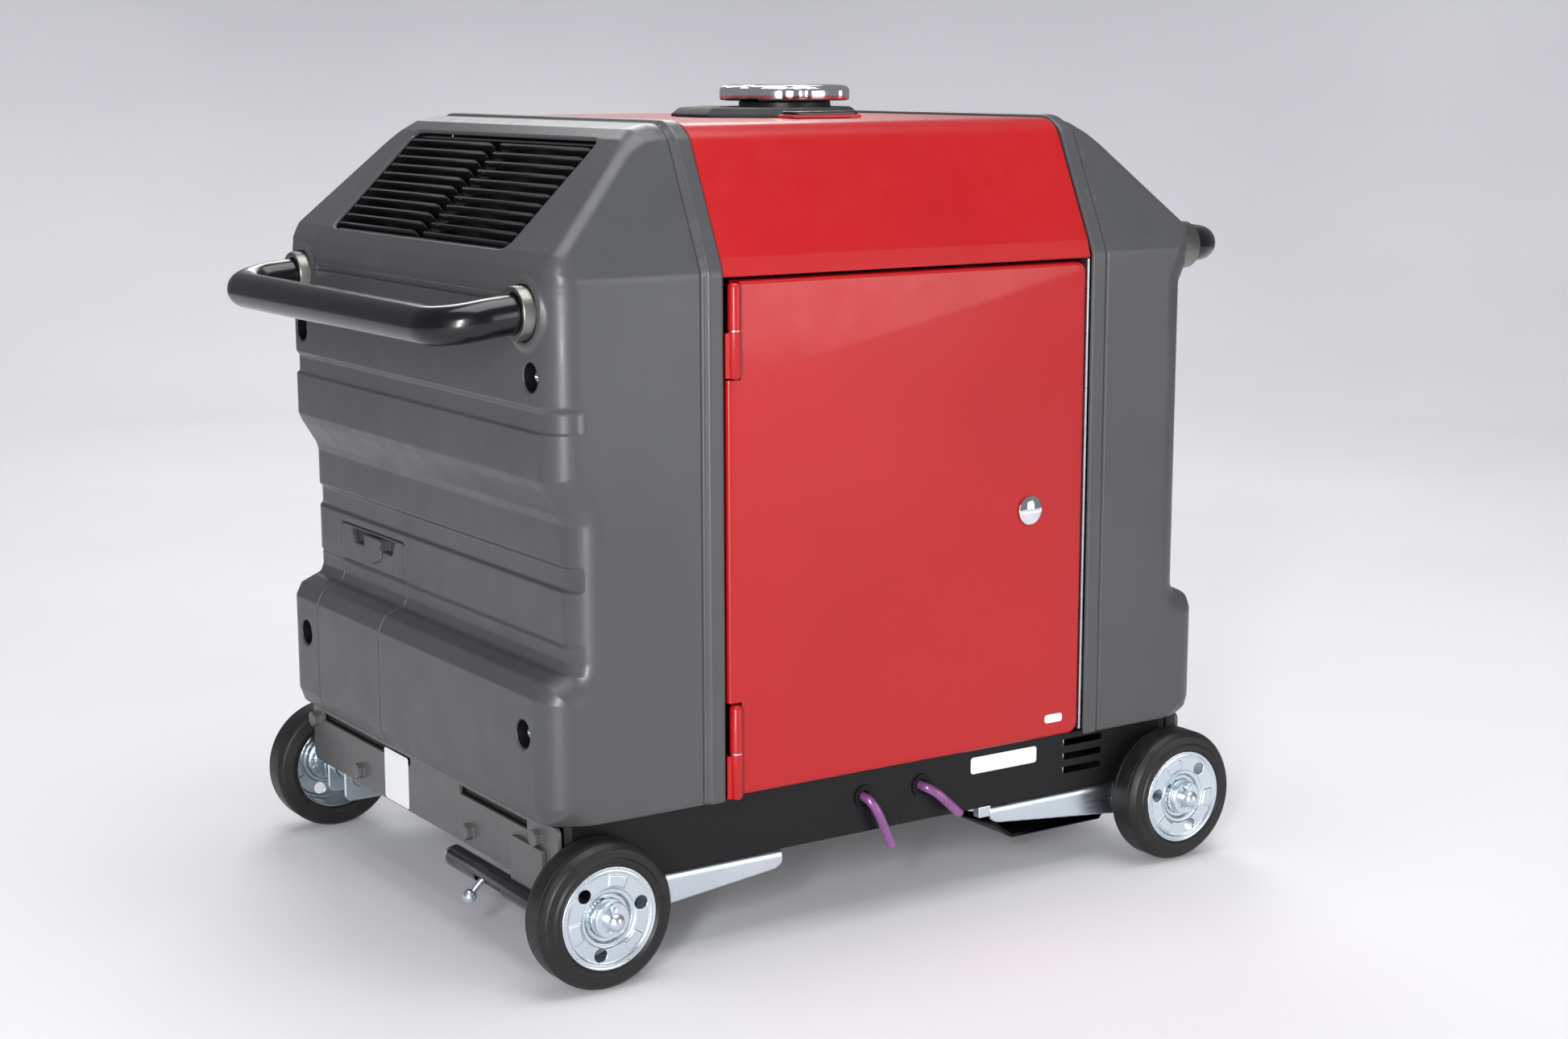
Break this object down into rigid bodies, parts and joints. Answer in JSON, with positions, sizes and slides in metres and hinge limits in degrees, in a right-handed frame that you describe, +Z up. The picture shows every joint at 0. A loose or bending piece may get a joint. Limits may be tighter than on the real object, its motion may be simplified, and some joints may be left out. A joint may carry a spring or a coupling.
{
  "type": "inverter generator",
  "caption": "Enclosed petrol inverter generator with side doors, carrying handles, end grille, fuel cap, control panel and a four-wheel kit with a wheel lock",
  "frame": {"origin": "on the floor, midway between the four wheels", "axes": "+X along the length towards the control panel, +Y towards the rear door, +Z up"},
  "size_m": [0.6578, 0.482, 0.572],
  "materials": {
    "grey_shell": "fine textured, soft sheen",
    "red_paint": "gloss enamel",
    "black_steel": "semi-gloss",
    "black_plastic": "satin",
    "black_rubber": "matte",
    "tyre_rubber": "matte",
    "zinc_plate": "bluish zinc plate",
    "chrome": "polished",
    "cast_alloy": "as cast",
    "handle_gloss": "gloss",
    "dark_steel": "dull",
    "hose_plastic": "translucent mauve"
  },
  "bodies": {
    "body": {"base_pan": "black_steel", "foot_rail": "black_steel", "frame_near": "black_steel", "frame_far": "zinc_plate", "cover_near": "grey_shell", "grille_near": "black_plastic", "cover_far": "grey_shell", "top_panel": "red_paint", "hinge_front_upper": "red_paint", "hinge_front_lower": "red_paint", "hinge_rear_upper": "red_paint", "hinge_rear_lower": "red_paint", "end_plate_near": "black_steel", "handle_near": "handle_gloss", "handle_sleeve_near_front": "dark_steel", "wheel_bracket_near_front": "zinc_plate", "axle_near_front": "zinc_plate", "handle_sleeve_near_rear": "dark_steel", "wheel_bracket_near_rear": "zinc_plate", "axle_near_rear": "zinc_plate", "end_plate_far": "black_steel", "handle_far": "handle_gloss", "handle_sleeve_far_front": "dark_steel", "wheel_bracket_far_front": "zinc_plate", "axle_far_front": "zinc_plate", "handle_sleeve_far_rear": "dark_steel", "wheel_bracket_far_rear": "zinc_plate", "axle_far_rear": "zinc_plate", "lock_guide": "black_steel", "drain_hose_left": "hose_plastic", "drain_hose_right": "hose_plastic", "fuel_tank": "black_plastic", "cap_tray": "black_rubber", "fuel_gauge": "black_plastic", "engine_block": "cast_alloy", "alternator": "cast_alloy", "muffler": "dark_steel", "air_cleaner": "black_plastic", "battery": "black_plastic", "inverter_unit": "cast_alloy", "control_panel": "black_plastic"},
    "door_front_leaf": {"door_front": "red_paint"},
    "lock_front": {"door_lock_front": "chrome"},
    "door_rear_leaf": {"door_rear": "red_paint"},
    "lock_rear": {"door_lock_rear": "chrome"},
    "service_panel": {"service_cover": "grey_shell"},
    "wheel_near_front": {"wheel_disc_near_front": "zinc_plate", "tyre_near_front": "tyre_rubber"},
    "wheel_near_rear": {"wheel_disc_near_rear": "zinc_plate", "tyre_near_rear": "tyre_rubber"},
    "wheel_far_front": {"wheel_disc_far_front": "zinc_plate", "tyre_far_front": "tyre_rubber"},
    "wheel_far_rear": {"wheel_disc_far_rear": "zinc_plate", "tyre_far_rear": "tyre_rubber"},
    "wheel_lock": {"lock_pin": "zinc_plate"},
    "cap_base": {"fuel_cap_seal": "black_rubber"},
    "cap": {"fuel_cap": "chrome"},
    "key": {"engine_key": "zinc_plate"},
    "eco_rocker": {"eco_switch": "black_plastic"},
    "breaker": {"breaker_button": "black_plastic"}
  },
  "joints": [
    {"name": "door_front_swing", "type": "hinge", "parent": "body", "child": "door_front_leaf", "pos_m": [-0.139, -0.2125, 0.28], "axis": [0, 0, -1], "range_deg": [0, 165]},
    {"name": "door_front_lock_turn", "type": "hinge", "parent": "door_front_leaf", "child": "lock_front", "pos_m": [0.1075, -0.2135, 0.277], "axis": [0, 1, 0], "range_deg": [0, 90]},
    {"name": "door_rear_swing", "type": "hinge", "parent": "body", "child": "door_rear_leaf", "pos_m": [-0.139, 0.2125, 0.28], "axis": [0, 0, 1], "range_deg": [0, 165]},
    {"name": "door_rear_lock_turn", "type": "hinge", "parent": "door_rear_leaf", "child": "lock_rear", "pos_m": [0.1075, 0.2135, 0.277], "axis": [0, 1, 0], "range_deg": [0, 90]},
    {"name": "service_cover_lift", "type": "slide", "parent": "body", "child": "service_panel", "axis": [-1, 0, 0], "range_m": [0, 0.12]},
    {"name": "wheel_near_front_roll", "type": "hinge", "parent": "body", "child": "wheel_near_front", "pos_m": [-0.245, -0.213, 0.049], "axis": [0, 1, 0], "continuous": true},
    {"name": "wheel_near_rear_roll", "type": "hinge", "parent": "body", "child": "wheel_near_rear", "pos_m": [-0.245, 0.213, 0.049], "axis": [0, 1, 0], "continuous": true},
    {"name": "wheel_far_front_roll", "type": "hinge", "parent": "body", "child": "wheel_far_front", "pos_m": [0.245, -0.213, 0.049], "axis": [0, 1, 0], "continuous": true},
    {"name": "wheel_far_rear_roll", "type": "hinge", "parent": "body", "child": "wheel_far_rear", "pos_m": [0.245, 0.213, 0.049], "axis": [0, 1, 0], "continuous": true},
    {"name": "wheel_lock_slide", "type": "slide", "parent": "body", "child": "wheel_lock", "axis": [0, -1, 0], "range_m": [0, 0.03]},
    {"name": "fuel_cap_lift", "type": "slide", "parent": "body", "child": "cap_base", "axis": [0, 0, 1], "range_m": [0, 0.08]},
    {"name": "fuel_cap_turn", "type": "hinge", "parent": "cap_base", "child": "cap", "pos_m": [0.04, 0, 0.56], "axis": [0, 0, 1], "range_deg": [0, 90]},
    {"name": "engine_key_turn", "type": "hinge", "parent": "body", "child": "key", "pos_m": [0.2344, -0.108, 0.372], "axis": [1, 0, 0], "range_deg": [0, 90]},
    {"name": "eco_switch_rock", "type": "hinge", "parent": "body", "child": "eco_rocker", "pos_m": [0.2294, -0.06, 0.372], "axis": [0, 1, 0], "range_deg": [-8, 8]},
    {"name": "breaker_button_press", "type": "slide", "parent": "body", "child": "breaker", "axis": [-1, 0, 0], "range_m": [0, 0.003], "stiffness_N_per_m": 600}
  ]
}
